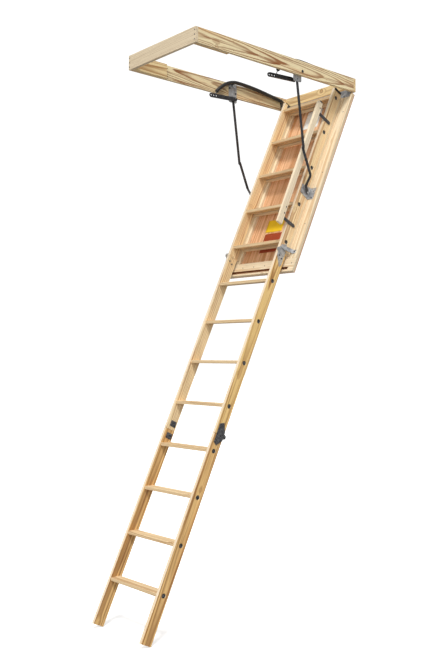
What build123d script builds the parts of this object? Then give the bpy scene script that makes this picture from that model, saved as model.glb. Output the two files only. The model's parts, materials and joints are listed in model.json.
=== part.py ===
from build123d import *
from math import acos, atan2, cos, degrees, radians, sin
import os

os.makedirs("parts", exist_ok=True)

# Millimetres. +Z is up, +X is to the right of someone who looks at the hinge end, and +Y points to the
# hinge end. The origin is the middle of the hatch opening, in the plane of the frame's lower edges.

# Frame
FRAME_LENGTH = 1359.0
FRAME_WIDTH = 635.0
FRAME_HEIGHT = 89.0
BOARD = 19.0
CORNER_BLOCK_LENGTH = 245.0
FIXING_PITCH_Y = 800.0
FIXING_PITCH_Z = 50.0
FIXING_RADIUS = 3.5

# Ladder
SLOPE = 64.8
TREAD_PITCH = 273.0
TREADS = 13
FIRST_TREAD = 81.0
STRINGER_DEPTH = 70.0
STRINGER_OUTSIDE = 234.0
TREAD_DEPTH = 66.0
DADO_DEPTH = 6.0
DADO_GAP = 0.05
FOLD_GAP = 1.0
BUTT_GAP = 0.9

# Door
PANEL_THICKNESS = 6.0
DOOR_WIDTH = 625.0
DOOR_LENGTH = 1335.0
DOOR_RAIL_WIDTH = 115.0
DOOR_START = 4.2
BATTEN_WIDTH = 32.0
PAD_START = 30.0
BOTTOM_RAIL_START = 1245.0
SLOT_START = 1303.0
SLOT_END = 1321.0
SLOT_REACH = 265.0

# Piano hinge between the hinge-end board and the door
HINGE_LENGTH = 588.0
HINGE_KNUCKLES = 14
KNUCKLE_RADIUS = 3.2
HINGE_PIN_RADIUS = 1.6
HINGE_LEAF = 1.5
HINGE_LEAF_WIDTH = 28.0

# Counterbalance: bell crank, bent link and spring
CRANK_Y = 150.0
CRANK_Z = -22.0
CRANK_ARM = 420.0
CRANK_LEVER = 216.0
LEVER_DROP = 3.4
LINK_LENGTH = 278.0
LINK_LENGTH_TO_BEND = 176.0
LINK_FOOT_R = 786.0
LINK_FOOT_H = 30.0
LINK_BAR = 20.0
LINK_BEND = 16.0
LINK_NEAR = 284.5
LINK_FOOT_NEAR = 244.0
LINK_TAB = 46.0
LINK_THICK = 5.0
LEVER_NEAR = 266.0
ARM_NEAR = 291.0
CRANK_THICK = 4.0
LEVER_DEPTH = 26.0
ARM_BAR = 19.0
HUB_RADIUS = 10.0
SPRING_X = 282.5
SPRING_RADIUS = 12.5
SPRING_ROUTE = [
    (-8.0, 2.0),
    (26.0, 33.5),
    (75.0, 68.0),
    (132.0, 91.0),
    (200.0, 97.5),
    (367.0, 87.5),
    (594.0, 57.0),
]
SADDLE = (150.0, 69.5)
SADDLE_RADIUS = 11.0
SADDLE_NEAR = 278.5
PLATE_THICK = 3.0
PLATE_WIDTH = 70.0
PLATE_LOW = -38.0
PLATE_HIGH = 84.0
PLATE_CORNER = 10.0
PLATE_BOLT = (CRANK_Y + 24, 26.0)
PLATE_SCREW = (CRANK_Y - 28, 56.0)
ANCHOR = (610.0, 55.0)
ANCHOR_FOOT = (620.0, 14.0)
ANCHOR_WIDTH = 26.0
ANCHOR_PIN_RADIUS = 5.0
LEVER_HOLE_RADIUS = 4.5
LEVER_HOLES = (2.0, 24.0, 46.0)
LEVER_FLANGE_START = 22.0
LEVER_FLANGE_HEIGHT = 6.0
LEVER_FLANGE_THICK = 3.0

# Section hinges
LEAF = 2.5
LEAF_WIDTH = 58.0
EYE = 14.0
STEP = LEAF + 0.3
KNEE_TOP_REACH = 60.0
KNEE_REACH = 100.0
ANKLE_TOP_REACH = 76.0
ANKLE_REACH = 62.0
BACKING_LENGTH = 36.0
BACKING_WIDTH = 42.0
BACKING_CORNER = 3.0

# Handrail and door brackets
HANDRAIL_TOP = 195.0
HANDRAIL_END = 1090.0
HANDRAIL_H = 158.0
HANDRAIL_LEAN = 10.0
HANDRAIL_WIDTH = 43.0
BRACKET_THICK = 3.0
HANDRAIL_NEAR = STRINGER_OUTSIDE + 0.5 + BRACKET_THICK
HANDRAIL_BRACKETS = (257.0, 1035.0)
BRACKET_OUT = 280.0
STRAP_OUT = 288.0
STRAP_R = 1200.0
STRAP_HALF_WIDTH = 13.0
STRAP_TOP = 84.0
STRAP_KNEE = 57.0
TOP_STRAP_LIP = 12.0
TOP_STRAP_LEG = 26.0

# Fasteners
NUT_SEAT = 5.0
ROD_RADIUS = 3.0
NUT_RADIUS = 12.5
NUT_GAP = 1.2
PIVOT_RADIUS = 4.0
SCREW_DEPTH = 15.0
RUNNING = 0.05
SIDE_GAP = 0.2
SCREW_HEAD_RADIUS = 4.0
LEAF_SCREW_RADIUS = 3.0
FACE_SCREW_RADIUS = 3.5
FACE_SCREW_HEAD = 0.7
FRAME_SCREW_HEAD = 0.6
LEAF_SCREW_HEAD = 0.8
STRAP_SCREW_HEAD = 1.5
RAIL_SCREW_RADIUS = 4.5
RAIL_SCREW_HEAD = 1.2
SCREW_EDGE = 18.0
LEAF_SCREWS = 6
KNUCKLE_GAP = 0.2
NUT_SINK = 2.0
TREAD_CHAMFER = 1.5
ROD_SINK = 1.5
LEAF_BOLTS = ((33.0, 18.0), (44.0, 42.0))
FACE_SCREW_ROWS = (150.0, 620.0, 1000.0)
RAIL_SCREWS = (-260.0, -150.0, -50.0, 50.0, 150.0, 285.0)
FACE_SCREW_X = 285.0
RAIL_SCREW_LINE = 34.0
FRAME_LEAF_SCREW = 14.0
LEAF_SCREW_LINE = 17.0
FOOT_SCREW_IN = 14.0
FOOT_SCREW_REACH = 24.0
STRAP_SCREW_IN = 9.0
HANDRAIL_SCREWS = ((20.0, 12.0), (62.0, 13.0))
PIN_GAP = 0.3
BOLT_HEAD_RADIUS = 8.0
BOLT_HEX_RADIUS = 6.5
PIN_HEAD = 4.7
RIVET_HEAD_RADIUS = 7.0
RIVET_HEAD = 2.0
LEAF_BOLT_HEAD_RADIUS = 5.5
LEAF_BOLT_HEAD = 2.2
LEAF_NUT = 4.0
BACKING_THICK = 2.0

# Derived sizes. r runs down the ladder from the hinge pin, and h is the height off it, towards the climber.
INSIDE_X = FRAME_WIDTH / 2 - BOARD
HINGE_Y = FRAME_LENGTH / 2 - BOARD - KNUCKLE_RADIUS - 0.3
HINGE_Z = -KNUCKLE_RADIUS - 0.5
DOOR_FACE = KNUCKLE_RADIUS - HINGE_LEAF
PANEL_FACE = DOOR_FACE - BOARD
STRINGER_BACK = DOOR_FACE + BOARD
STRINGER_FRONT = STRINGER_BACK + STRINGER_DEPTH
STRINGER_MIDDLE = (STRINGER_BACK + STRINGER_FRONT) / 2
STRINGER_INSIDE = STRINGER_OUTSIDE - BOARD
STRINGER_TOP = 8.0
KNEE = FIRST_TREAD + 4.2 * TREAD_PITCH
ANKLE = FIRST_TREAD + 8.58 * TREAD_PITCH
FOOT = FIRST_TREAD + 12.9 * TREAD_PITCH
KNEE_H = STRINGER_FRONT + FOLD_GAP
ANKLE_H = STRINGER_BACK - FOLD_GAP
KNEE_PIVOT = (KNEE, KNEE_H)
ANKLE_PIVOT = (ANKLE, ANKLE_H)

DOWN = Vector(0, -cos(radians(SLOPE)), -sin(radians(SLOPE)))
OUT = Vector(0, -sin(radians(SLOPE)), cos(radians(SLOPE)))
HINGE = Vector(0, HINGE_Y, HINGE_Z)


def ladder_point(r, h):
    """The (y, z) of a point of the open ladder, from its place along and off the door."""
    point = HINGE + DOWN * r + OUT * h
    return point.Y, point.Z


def ladder_place(y, z):
    """The (r, h) of a point given by its (y, z)."""
    offset = Vector(0, y, z) - HINGE
    return offset.dot(DOWN), offset.dot(OUT)


def ladder_side(side, near, far):
    """The sketch plane for a piece between two distances from the middle, drawn in (r, h)."""
    return Plane(origin=(max(side * near, side * far), HINGE_Y, HINGE_Z), x_dir=DOWN, z_dir=(-1, 0, 0))


def frame_side(side, near, far):
    """The sketch plane for a piece between two distances from the middle, drawn in (y, z)."""
    return Plane(origin=(min(side * near, side * far), 0, 0), x_dir=(0, 1, 0), z_dir=(1, 0, 0))


def box_sketch(low, high):
    """A rectangle between two opposite corners."""
    with Locations(((low[0] + high[0]) / 2, (low[1] + high[1]) / 2)):
        Rectangle(high[0] - low[0], high[1] - low[1])


def bar_sketch(start, end, width):
    """A flat bar with round ends, drawn between two points."""
    run = Vector(end[0] - start[0], end[1] - start[1])
    with Locations(((start[0] + end[0]) / 2, (start[1] + end[1]) / 2)):
        SlotCenterToCenter(run.length, width, rotation=degrees(atan2(run.Y, run.X)))


def save(piece, name):
    """Label a finished piece and write its STEP file."""
    piece.part.label = name
    export_step(piece.part, f"parts/{name}.step")


def side_name(side):
    return "right" if side > 0 else "left"


def tread_line(number):
    """Where along the ladder the lower front edge of a tread is."""
    return FIRST_TREAD + (number - 1) * TREAD_PITCH


def tread_corners(number):
    """The (y, z) of the low back and high front corners of a level tread."""
    front_y, bottom_z = ladder_point(tread_line(number), STRINGER_FRONT - BOARD * cos(radians(SLOPE)) - 0.6)
    return (front_y, bottom_z), (front_y + TREAD_DEPTH, bottom_z + BOARD)


def rod_place(number):
    """The (r, h) of the rod in the groove along the underside of a tread."""
    low, high = tread_corners(number)
    return ladder_place((low[0] + high[0]) / 2, low[1] + ROD_RADIUS + RUNNING)


def handrail_height(r):
    """How far the handrail's inner edge stands off the door, which falls a little towards its lower end."""
    return HANDRAIL_H - HANDRAIL_LEAN * (r - HANDRAIL_TOP) / (HANDRAIL_END - HANDRAIL_TOP)


def link_points():
    """The (y, z) of the crank pivot, of the joint between crank and link, and of the link's foot."""
    pivot = Vector(0, CRANK_Y, CRANK_Z)
    foot = Vector(0, *ladder_point(LINK_FOOT_R, LINK_FOOT_H))
    reach = foot - pivot
    spread = acos((CRANK_ARM**2 + reach.length**2 - LINK_LENGTH**2) / (2 * CRANK_ARM * reach.length))
    angle = atan2(reach.Z, reach.Y) - spread
    elbow = pivot + Vector(0, cos(angle), sin(angle)) * CRANK_ARM
    return (pivot.Y, pivot.Z), (elbow.Y, elbow.Z), (foot.Y, foot.Z)


CRANK_PIVOT, ELBOW, LINK_FOOT = link_points()
LEVER_TIP = (
    CRANK_Y - CRANK_LEVER * cos(radians(LEVER_DROP)),
    CRANK_Z - CRANK_LEVER * sin(radians(LEVER_DROP)),
)


# Frame

def end_board(name, y_low):
    """A board across the end of the frame, between the outer faces of the jambs."""
    with BuildPart() as board:
        with BuildSketch(Plane.XY):
            with Locations((0, y_low + BOARD / 2)):
                Rectangle(FRAME_WIDTH, BOARD)
        extrude(amount=FRAME_HEIGHT)
        chamfer(board.edges().filter_by(Axis.X), length=1.0)
    save(board, name)


def jamb(side):
    """A long side of the frame, between the end boards, with its fixing holes and bolt holes."""
    half = FRAME_LENGTH / 2 - BOARD
    with BuildPart() as board:
        with BuildSketch(frame_side(side, INSIDE_X, INSIDE_X + BOARD)):
            box_sketch((-half, 0), (half, FRAME_HEIGHT))
            with Locations(PLATE_BOLT):
                Circle(PIVOT_RADIUS, mode=Mode.SUBTRACT)
            with GridLocations(FIXING_PITCH_Y, FIXING_PITCH_Z, 2, 2):
                with Locations((0, FRAME_HEIGHT / 2)):
                    Circle(FIXING_RADIUS, mode=Mode.SUBTRACT)
        extrude(amount=BOARD)
        with BuildSketch(frame_side(side, INSIDE_X, INSIDE_X + SCREW_DEPTH)):
            with Locations(SADDLE, PLATE_SCREW):
                Circle(PIVOT_RADIUS)
        extrude(amount=SCREW_DEPTH, mode=Mode.SUBTRACT)
    save(board, f"{side_name(side)}_jamb")


def corner_blocks():
    """Short boards on the inner faces of the jambs at the header end."""
    start = -FRAME_LENGTH / 2 + BOARD
    with BuildPart() as blocks:
        for side in (-1, 1):
            with BuildSketch(frame_side(side, INSIDE_X - BOARD, INSIDE_X)):
                box_sketch((start, 0), (start + CORNER_BLOCK_LENGTH, FRAME_HEIGHT))
            extrude(amount=BOARD)
    save(blocks, "corner_blocks")


def frame_screws():
    """Screws through the end boards into the jambs, and the screws of the frame's hinge leaf."""
    with BuildPart() as screws:
        for end in (-1, 1):
            head = end * (FRAME_LENGTH / 2 + FRAME_SCREW_HEAD)
            with BuildSketch(Plane(origin=(0, head, 0), x_dir=(1, 0, 0), z_dir=(0, end, 0))):
                for x in (-1, 1):
                    for z in (SCREW_EDGE, FRAME_HEIGHT / 2, FRAME_HEIGHT - SCREW_EDGE):
                        with Locations((x * (FRAME_WIDTH / 2 - BOARD / 2), -end * z)):
                            Circle(SCREW_HEAD_RADIUS)
            extrude(amount=-FRAME_SCREW_HEAD)
        with BuildSketch(Plane(origin=(0, HINGE_Y + LEAF_SCREW_HEAD, 0), x_dir=(1, 0, 0), z_dir=(0, -1, 0))):
            with Locations((0, FRAME_LEAF_SCREW)):
                with GridLocations(HINGE_LENGTH / LEAF_SCREWS, 1, LEAF_SCREWS, 1):
                    Circle(LEAF_SCREW_RADIUS)
        extrude(amount=LEAF_SCREW_HEAD)
    save(screws, "frame_screws")


def jamb_plates():
    """Plates on the jambs' inner faces, each with its crank's pivot hole and its spring's saddle."""
    with BuildPart() as plates:
        for side in (-1, 1):
            with BuildSketch(frame_side(side, INSIDE_X - PLATE_THICK, INSIDE_X)):
                with Locations((CRANK_Y, (PLATE_LOW + PLATE_HIGH) / 2)):
                    RectangleRounded(PLATE_WIDTH, PLATE_HIGH - PLATE_LOW, PLATE_CORNER)
                with Locations(CRANK_PIVOT, PLATE_BOLT, PLATE_SCREW):
                    Circle(PIVOT_RADIUS, mode=Mode.SUBTRACT)
            extrude(amount=PLATE_THICK)
            with BuildSketch(frame_side(side, SADDLE_NEAR, INSIDE_X)):
                with Locations(SADDLE):
                    Circle(SADDLE_RADIUS)
            extrude(amount=INSIDE_X - SADDLE_NEAR)
            with BuildSketch(frame_side(side, SADDLE_NEAR, INSIDE_X)):
                with Locations(SADDLE):
                    Circle(PIVOT_RADIUS)
            extrude(amount=INSIDE_X - SADDLE_NEAR, mode=Mode.SUBTRACT)
    save(plates, "jamb_plates")


def jamb_bolts():
    """Bolts and screws of the plates and saddles, and the bolts that the cranks turn on."""
    plate_face = INSIDE_X - PLATE_THICK
    outside = INSIDE_X + BOARD
    screw_end = INSIDE_X + SCREW_DEPTH
    pin_head = LEVER_NEAR - PIN_GAP - PIN_HEAD
    with BuildPart() as bolts:
        for side in (-1, 1):
            with BuildSketch(frame_side(side, plate_face, outside)):
                with Locations(PLATE_BOLT):
                    Circle(PIVOT_RADIUS)
            extrude(amount=outside - plate_face)
            with BuildSketch(frame_side(side, outside, outside + PLATE_THICK)):
                with Locations(PLATE_BOLT):
                    Circle(BOLT_HEAD_RADIUS)
            extrude(amount=PLATE_THICK)
            with BuildSketch(frame_side(side, plate_face - PLATE_THICK, plate_face)):
                with Locations(PLATE_BOLT, PLATE_SCREW):
                    RegularPolygon(BOLT_HEX_RADIUS, 6)
            extrude(amount=PLATE_THICK)
            with BuildSketch(frame_side(side, plate_face, screw_end)):
                with Locations(PLATE_SCREW):
                    Circle(PIVOT_RADIUS)
            extrude(amount=screw_end - plate_face)
            with BuildSketch(frame_side(side, SADDLE_NEAR, screw_end)):
                with Locations(SADDLE):
                    Circle(PIVOT_RADIUS)
            extrude(amount=screw_end - SADDLE_NEAR)
            with BuildSketch(frame_side(side, pin_head, INSIDE_X)):
                with Locations(CRANK_PIVOT):
                    Circle(PIVOT_RADIUS)
            extrude(amount=INSIDE_X - pin_head)
            with BuildSketch(frame_side(side, pin_head, pin_head + PIN_HEAD)):
                with Locations(CRANK_PIVOT):
                    Circle(BOLT_HEAD_RADIUS)
            extrude(amount=PIN_HEAD)
    save(bolts, "jamb_bolts")


def spring_anchors():
    """Steel straps on the jambs near the hinge that hold the fixed ends of the springs."""
    plate_face = INSIDE_X - PLATE_THICK
    pin_end = SPRING_X - ANCHOR_PIN_RADIUS
    with BuildPart() as anchors:
        for side in (-1, 1):
            with BuildSketch(frame_side(side, plate_face, INSIDE_X)):
                bar_sketch(ANCHOR, ANCHOR_FOOT, ANCHOR_WIDTH)
            extrude(amount=PLATE_THICK)
            with BuildSketch(frame_side(side, pin_end, plate_face)):
                with Locations(ANCHOR):
                    Circle(ANCHOR_PIN_RADIUS)
            extrude(amount=plate_face - pin_end)
    save(anchors, "spring_anchors")


def spring(side):
    """A sleeved spring from its anchor, over the saddle and down to the crank's lever."""
    with BuildPart() as coil:
        with BuildLine(Plane(origin=(side * SPRING_X, 0, 0), x_dir=(0, 1, 0), z_dir=(1, 0, 0))) as line:
            Spline(*SPRING_ROUTE)
        with BuildSketch(Plane(origin=line.wire() @ 0, z_dir=line.wire() % 0)):
            Circle(SPRING_RADIUS)
        sweep(path=line.wire())
    save(coil, f"{side_name(side)}_spring")


def knuckle_run(parity):
    """The places along X of every other knuckle of the piano hinge."""
    pitch = HINGE_LENGTH / HINGE_KNUCKLES
    start = -HINGE_LENGTH / 2
    return [start + pitch * n for n in range(parity, HINGE_KNUCKLES, 2)], pitch


def hinge_leaf(name, parity, plane_turn):
    """One leaf of the piano hinge with its knuckles. plane_turn is 0 on the frame and 1 on the door."""
    starts, pitch = knuckle_run(parity)
    with BuildPart() as leaf:
        for start in starts:
            if plane_turn:
                plane = ladder_side(1, start + KNUCKLE_GAP, start + pitch - KNUCKLE_GAP)
            else:
                plane = frame_side(1, start + KNUCKLE_GAP, start + pitch - KNUCKLE_GAP)
            centre = (0, 0) if plane_turn else (HINGE_Y, HINGE_Z)
            with BuildSketch(plane):
                with Locations(centre):
                    Circle(KNUCKLE_RADIUS)
                if plane_turn:
                    box_sketch((0, DOOR_FACE), (DOOR_START + 3, DOOR_FACE + HINGE_LEAF))
                else:
                    box_sketch((HINGE_Y + 2, HINGE_Z), (HINGE_Y + KNUCKLE_RADIUS + 0.3, 4))
                with Locations(centre):
                    Circle(HINGE_PIN_RADIUS + RUNNING, mode=Mode.SUBTRACT)
            extrude(amount=pitch - 2 * KNUCKLE_GAP)
        reach = HINGE_LENGTH / 2 - KNUCKLE_GAP
        if plane_turn:
            with BuildSketch(ladder_side(1, -reach, reach)):
                box_sketch((KNUCKLE_RADIUS + 0.5, DOOR_FACE), (HINGE_LEAF_WIDTH, DOOR_FACE + HINGE_LEAF))
        else:
            with BuildSketch(frame_side(1, -reach, reach)):
                box_sketch((HINGE_Y + 2, 0.3), (HINGE_Y + KNUCKLE_RADIUS + 0.3, HINGE_LEAF_WIDTH - 3))
        extrude(amount=2 * reach)
    save(leaf, name)


def hinge_pin():
    """The pin of the piano hinge."""
    with BuildPart() as pin:
        with BuildSketch(frame_side(1, -HINGE_LENGTH / 2, HINGE_LENGTH / 2)):
            with Locations((HINGE_Y, HINGE_Z)):
                Circle(HINGE_PIN_RADIUS)
        extrude(amount=HINGE_LENGTH)
    save(pin, "hinge_pin")


# Door

def door_board(name, x_low, x_high, low, high):
    """A board or sheet of the door, from its width and its low and high (r, h)."""
    with BuildPart() as board:
        with BuildSketch(ladder_side(1, x_low, x_high)):
            box_sketch(low, high)
        extrude(amount=x_high - x_low)
    save(board, name)


def door_boards():
    """The panel, and the rails down its two sides."""
    half = DOOR_WIDTH / 2
    inner = half - DOOR_RAIL_WIDTH
    panel_back = PANEL_FACE - PANEL_THICKNESS
    door_board("door_panel", -half, half, (DOOR_START, panel_back), (DOOR_LENGTH, PANEL_FACE))
    door_board("left_door_rail", -half, -inner, (DOOR_START, PANEL_FACE), (BOTTOM_RAIL_START, DOOR_FACE))
    door_board("right_door_rail", inner, half, (DOOR_START, PANEL_FACE), (BOTTOM_RAIL_START, DOOR_FACE))


def door_bottom_rail():
    """The board across the free end of the door, with a slot along it."""
    half = DOOR_WIDTH / 2
    with BuildPart() as board:
        with BuildSketch(ladder_side(1, -half, half)):
            box_sketch((BOTTOM_RAIL_START, PANEL_FACE), (DOOR_LENGTH, DOOR_FACE))
        extrude(amount=DOOR_WIDTH)
        with BuildSketch(ladder_side(1, -SLOT_REACH, SLOT_REACH)):
            box_sketch((SLOT_START, PANEL_FACE), (SLOT_END, DOOR_FACE))
        extrude(amount=2 * SLOT_REACH, mode=Mode.SUBTRACT)
    save(board, "door_bottom_rail")


def door_battens():
    """Cross battens on the door behind the upper treads."""
    with BuildPart() as battens:
        for number in range(1, 6):
            top = tread_line(number) - 50
            with BuildSketch(ladder_side(1, -STRINGER_INSIDE, STRINGER_INSIDE)):
                box_sketch((top, DOOR_FACE), (top + BATTEN_WIDTH, STRINGER_BACK))
            extrude(amount=2 * STRINGER_INSIDE)
    save(battens, "door_battens")


def stringer_pads():
    """Long strips that carry the upper stringers off the door."""
    with BuildPart() as pads:
        for side in (-1, 1):
            with BuildSketch(ladder_side(side, STRINGER_INSIDE, STRINGER_OUTSIDE)):
                box_sketch((PAD_START, DOOR_FACE), (KNEE - BUTT_GAP, STRINGER_BACK))
            extrude(amount=BOARD)
    save(pads, "stringer_pads")


def door_screws():
    """The screw heads on the door, its hinge leaf, its brackets and the handrail."""
    face_places = [(x, BOTTOM_RAIL_START + RAIL_SCREW_LINE) for x in RAIL_SCREWS]
    face_places += [(side * FACE_SCREW_X, r) for side in (-1, 1) for r in FACE_SCREW_ROWS]
    with BuildPart() as screws:
        plane = Plane(origin=HINGE + OUT * DOOR_FACE, x_dir=(1, 0, 0), z_dir=OUT)
        with BuildSketch(plane):
            for x, r in face_places:
                with Locations((x, -r)):
                    Circle(FACE_SCREW_RADIUS)
        extrude(amount=FACE_SCREW_HEAD)
        with BuildSketch(plane.offset(HINGE_LEAF)):
            with Locations((0, -LEAF_SCREW_LINE)):
                with GridLocations(HINGE_LENGTH / LEAF_SCREWS, 1, LEAF_SCREWS, 1):
                    Circle(LEAF_SCREW_RADIUS)
        extrude(amount=LEAF_SCREW_HEAD)
        with BuildSketch(plane.offset(BRACKET_THICK)):
            for side in (-1, 1):
                with Locations(
                    (side * (BRACKET_OUT - FOOT_SCREW_IN), -LINK_FOOT_R + FOOT_SCREW_REACH),
                    (side * (BRACKET_OUT - FOOT_SCREW_IN), -LINK_FOOT_R - FOOT_SCREW_REACH),
                    (side * (STRAP_OUT - STRAP_SCREW_IN), -STRAP_R),
                ):
                    Circle(SCREW_HEAD_RADIUS)
        extrude(amount=STRAP_SCREW_HEAD)
        face = HANDRAIL_NEAR + BOARD
        with BuildSketch(ladder_side(1, face, face + RAIL_SCREW_HEAD)):
            for r in HANDRAIL_BRACKETS:
                for back, rise in HANDRAIL_SCREWS:
                    with Locations((r - back, handrail_height(r) + rise)):
                        Circle(RAIL_SCREW_RADIUS)
        extrude(amount=RAIL_SCREW_HEAD)
    save(screws, "door_screws")


# Ladder sections

def stringer(side, name, start, end, numbers, bolts=()):
    """A side rail of one section, with dadoes for its treads and holes for its rods and hinge bolts."""
    with BuildPart() as rail:
        with BuildSketch(ladder_side(side, STRINGER_INSIDE, STRINGER_OUTSIDE)):
            box_sketch((start, STRINGER_BACK), (end, STRINGER_FRONT))
        extrude(amount=BOARD)
        for number in numbers:
            low, high = tread_corners(number)
            with BuildSketch(frame_side(side, STRINGER_INSIDE, STRINGER_INSIDE + DADO_DEPTH)):
                box_sketch((low[0] - DADO_GAP, low[1] - DADO_GAP), (high[0] + DADO_GAP, high[1] + DADO_GAP))
            extrude(amount=DADO_DEPTH, mode=Mode.SUBTRACT)
            with BuildSketch(ladder_side(side, STRINGER_INSIDE, STRINGER_OUTSIDE)):
                with Locations(rod_place(number)):
                    Circle(ROD_RADIUS + RUNNING)
            extrude(amount=BOARD, mode=Mode.SUBTRACT)
            with BuildSketch(ladder_side(side, STRINGER_OUTSIDE - NUT_SEAT, STRINGER_OUTSIDE)):
                with Locations(rod_place(number)):
                    Circle(NUT_RADIUS + NUT_GAP)
            extrude(amount=NUT_SEAT, mode=Mode.SUBTRACT)
        if bolts:
            with BuildSketch(ladder_side(side, STRINGER_INSIDE, STRINGER_OUTSIDE)):
                with Locations(*bolts):
                    Circle(ROD_RADIUS + RUNNING)
            extrude(amount=BOARD, mode=Mode.SUBTRACT)
    save(rail, f"{side_name(side)}_{name}_stringer")


def tread(number):
    """A level tread, set into the dadoes of its stringers."""
    low, high = tread_corners(number)
    reach = STRINGER_INSIDE + DADO_DEPTH - DADO_GAP
    with BuildPart() as board:
        with BuildSketch(frame_side(1, -reach, reach)):
            box_sketch(low, high)
        extrude(amount=2 * reach)
        chamfer(board.edges().filter_by(Axis.X), length=TREAD_CHAMFER)
        middle = (low[0] + high[0]) / 2
        groove = ROD_RADIUS + RUNNING
        with BuildSketch(frame_side(1, -reach, reach)):
            box_sketch((middle - groove, low[1]), (middle + groove, low[1] + 2 * groove))
        extrude(amount=2 * reach, mode=Mode.SUBTRACT)
    save(board, f"tread_{number}")


def tread_rods(name, numbers):
    """The rods in the grooves under the treads of one section, each with a nut in both stringers."""
    reach = STRINGER_OUTSIDE - ROD_SINK
    with BuildPart() as rods:
        for number in numbers:
            with BuildSketch(ladder_side(1, -reach, reach)):
                with Locations(rod_place(number)):
                    Circle(ROD_RADIUS)
            extrude(amount=2 * reach)
            for side in (-1, 1):
                with BuildSketch(ladder_side(side, STRINGER_OUTSIDE - NUT_SEAT, STRINGER_OUTSIDE - NUT_SINK)):
                    with Locations(rod_place(number)):
                        Circle(NUT_RADIUS)
                extrude(amount=NUT_SEAT - NUT_SINK)
    save(rods, f"{name}_tread_rods")


# Section hinges. Each leaf is a plate on the outer face of a stringer. The leaf of the section above has
# its eye against the stringer, and the leaf of the section below is stepped out over it.


def leaf_polygon(pivot, along, inward, reach, width, taper):
    """A plate in one quarter about its pivot, so that it never meets the other leaf as they fold."""
    r, h = pivot
    Polygon(
        (r + along * 0.5, h + inward * 0.6),
        (r + along * reach * 0.35, h + inward * 0.6),
        (r + along * reach, h + inward * width * (1 - taper)),
        (r + along * reach * 0.8, h + inward * width),
        (r + along * 0.5, h + inward * width),
        align=None,
    )


def leaf_bolts(pivot, along, inward):
    """The two bolt places of a leaf."""
    r, h = pivot
    return [(r + along * reach, h + inward * depth) for reach, depth in LEAF_BOLTS]


def fixed_leaves(name, pivot, inward, reach, taper):
    """The leaves above a joint, with the rivets that the leaves below turn on."""
    near = STRINGER_OUTSIDE + SIDE_GAP
    head = near + LEAF + STEP + PIN_GAP
    with BuildPart() as leaves:
        for side in (-1, 1):
            with BuildSketch(ladder_side(side, near, near + LEAF)):
                with Locations(pivot):
                    Circle(EYE)
                leaf_polygon(pivot, -1, inward, reach, LEAF_WIDTH, taper)
                with Locations(*leaf_bolts(pivot, -1, inward)):
                    Circle(ROD_RADIUS + RUNNING, mode=Mode.SUBTRACT)
            extrude(amount=LEAF)
            with BuildSketch(ladder_side(side, near, head)):
                with Locations(pivot):
                    Circle(PIVOT_RADIUS)
            extrude(amount=head - near)
            with BuildSketch(ladder_side(side, head, head + RIVET_HEAD)):
                with Locations(pivot):
                    Circle(RIVET_HEAD_RADIUS)
            extrude(amount=RIVET_HEAD)
    save(leaves, name)


def swinging_leaves(name, pivot, inward, reach, taper):
    """The leaves below a joint, stepped out at the pivot to pass over the leaves above it."""
    near = STRINGER_OUTSIDE + SIDE_GAP
    r, h = pivot
    with BuildPart() as leaves:
        for side in (-1, 1):
            with BuildSketch(ladder_side(side, near, near + LEAF + STEP)):
                with Locations(pivot):
                    Circle(EYE)
                leaf_polygon(pivot, 1, inward, reach, LEAF_WIDTH, taper)
            extrude(amount=LEAF + STEP)
            with BuildSketch(ladder_side(side, near, near + STEP)):
                with Locations(pivot):
                    Circle(EYE + 0.5)
            extrude(amount=STEP, mode=Mode.SUBTRACT)
            with BuildSketch(ladder_side(side, near + LEAF, near + LEAF + STEP)):
                box_sketch((r + EYE + 6, h - LEAF_WIDTH - 1), (r + reach + 1, h + LEAF_WIDTH + 1))
            extrude(amount=STEP, mode=Mode.SUBTRACT)
            with BuildSketch(ladder_side(side, near, near + LEAF + STEP)):
                with Locations(pivot):
                    Circle(PIVOT_RADIUS + RUNNING)
                with Locations(*leaf_bolts(pivot, 1, inward)):
                    Circle(ROD_RADIUS + RUNNING)
            extrude(amount=LEAF + STEP, mode=Mode.SUBTRACT)
    save(leaves, name)


def hinge_bolts(name, seats):
    """Bolts through one section's stringers. Each seat is a set of bolts and the depth under their nuts."""
    leaf_face = STRINGER_OUTSIDE + SIDE_GAP + LEAF
    with BuildPart() as group:
        for side in (-1, 1):
            for bolts, depth in seats:
                nut_face = STRINGER_INSIDE - depth
                with BuildSketch(ladder_side(side, nut_face, leaf_face)):
                    with Locations(*bolts):
                        Circle(ROD_RADIUS)
                extrude(amount=leaf_face - nut_face)
                with BuildSketch(ladder_side(side, leaf_face, leaf_face + LEAF_BOLT_HEAD)):
                    with Locations(*bolts):
                        Circle(LEAF_BOLT_HEAD_RADIUS)
                extrude(amount=LEAF_BOLT_HEAD)
                with BuildSketch(ladder_side(side, nut_face - LEAF_NUT, nut_face)):
                    with Locations(*bolts):
                        RegularPolygon(LEAF_BOLT_HEAD_RADIUS, 6)
                extrude(amount=LEAF_NUT)
    save(group, name)


def backing_plates(name, bolts):
    """Square plates under the bolts' nuts, on the inner faces of the stringers."""
    middle = ((bolts[0][0] + bolts[1][0]) / 2, (bolts[0][1] + bolts[1][1]) / 2)
    with BuildPart() as plates:
        for side in (-1, 1):
            with BuildSketch(ladder_side(side, STRINGER_INSIDE - BACKING_THICK, STRINGER_INSIDE)):
                with Locations(middle):
                    RectangleRounded(BACKING_LENGTH, BACKING_WIDTH, BACKING_CORNER)
                with Locations(*bolts):
                    Circle(ROD_RADIUS + RUNNING, mode=Mode.SUBTRACT)
            extrude(amount=BACKING_THICK)
    save(plates, name)


# Handrail and the brackets of the door

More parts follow.
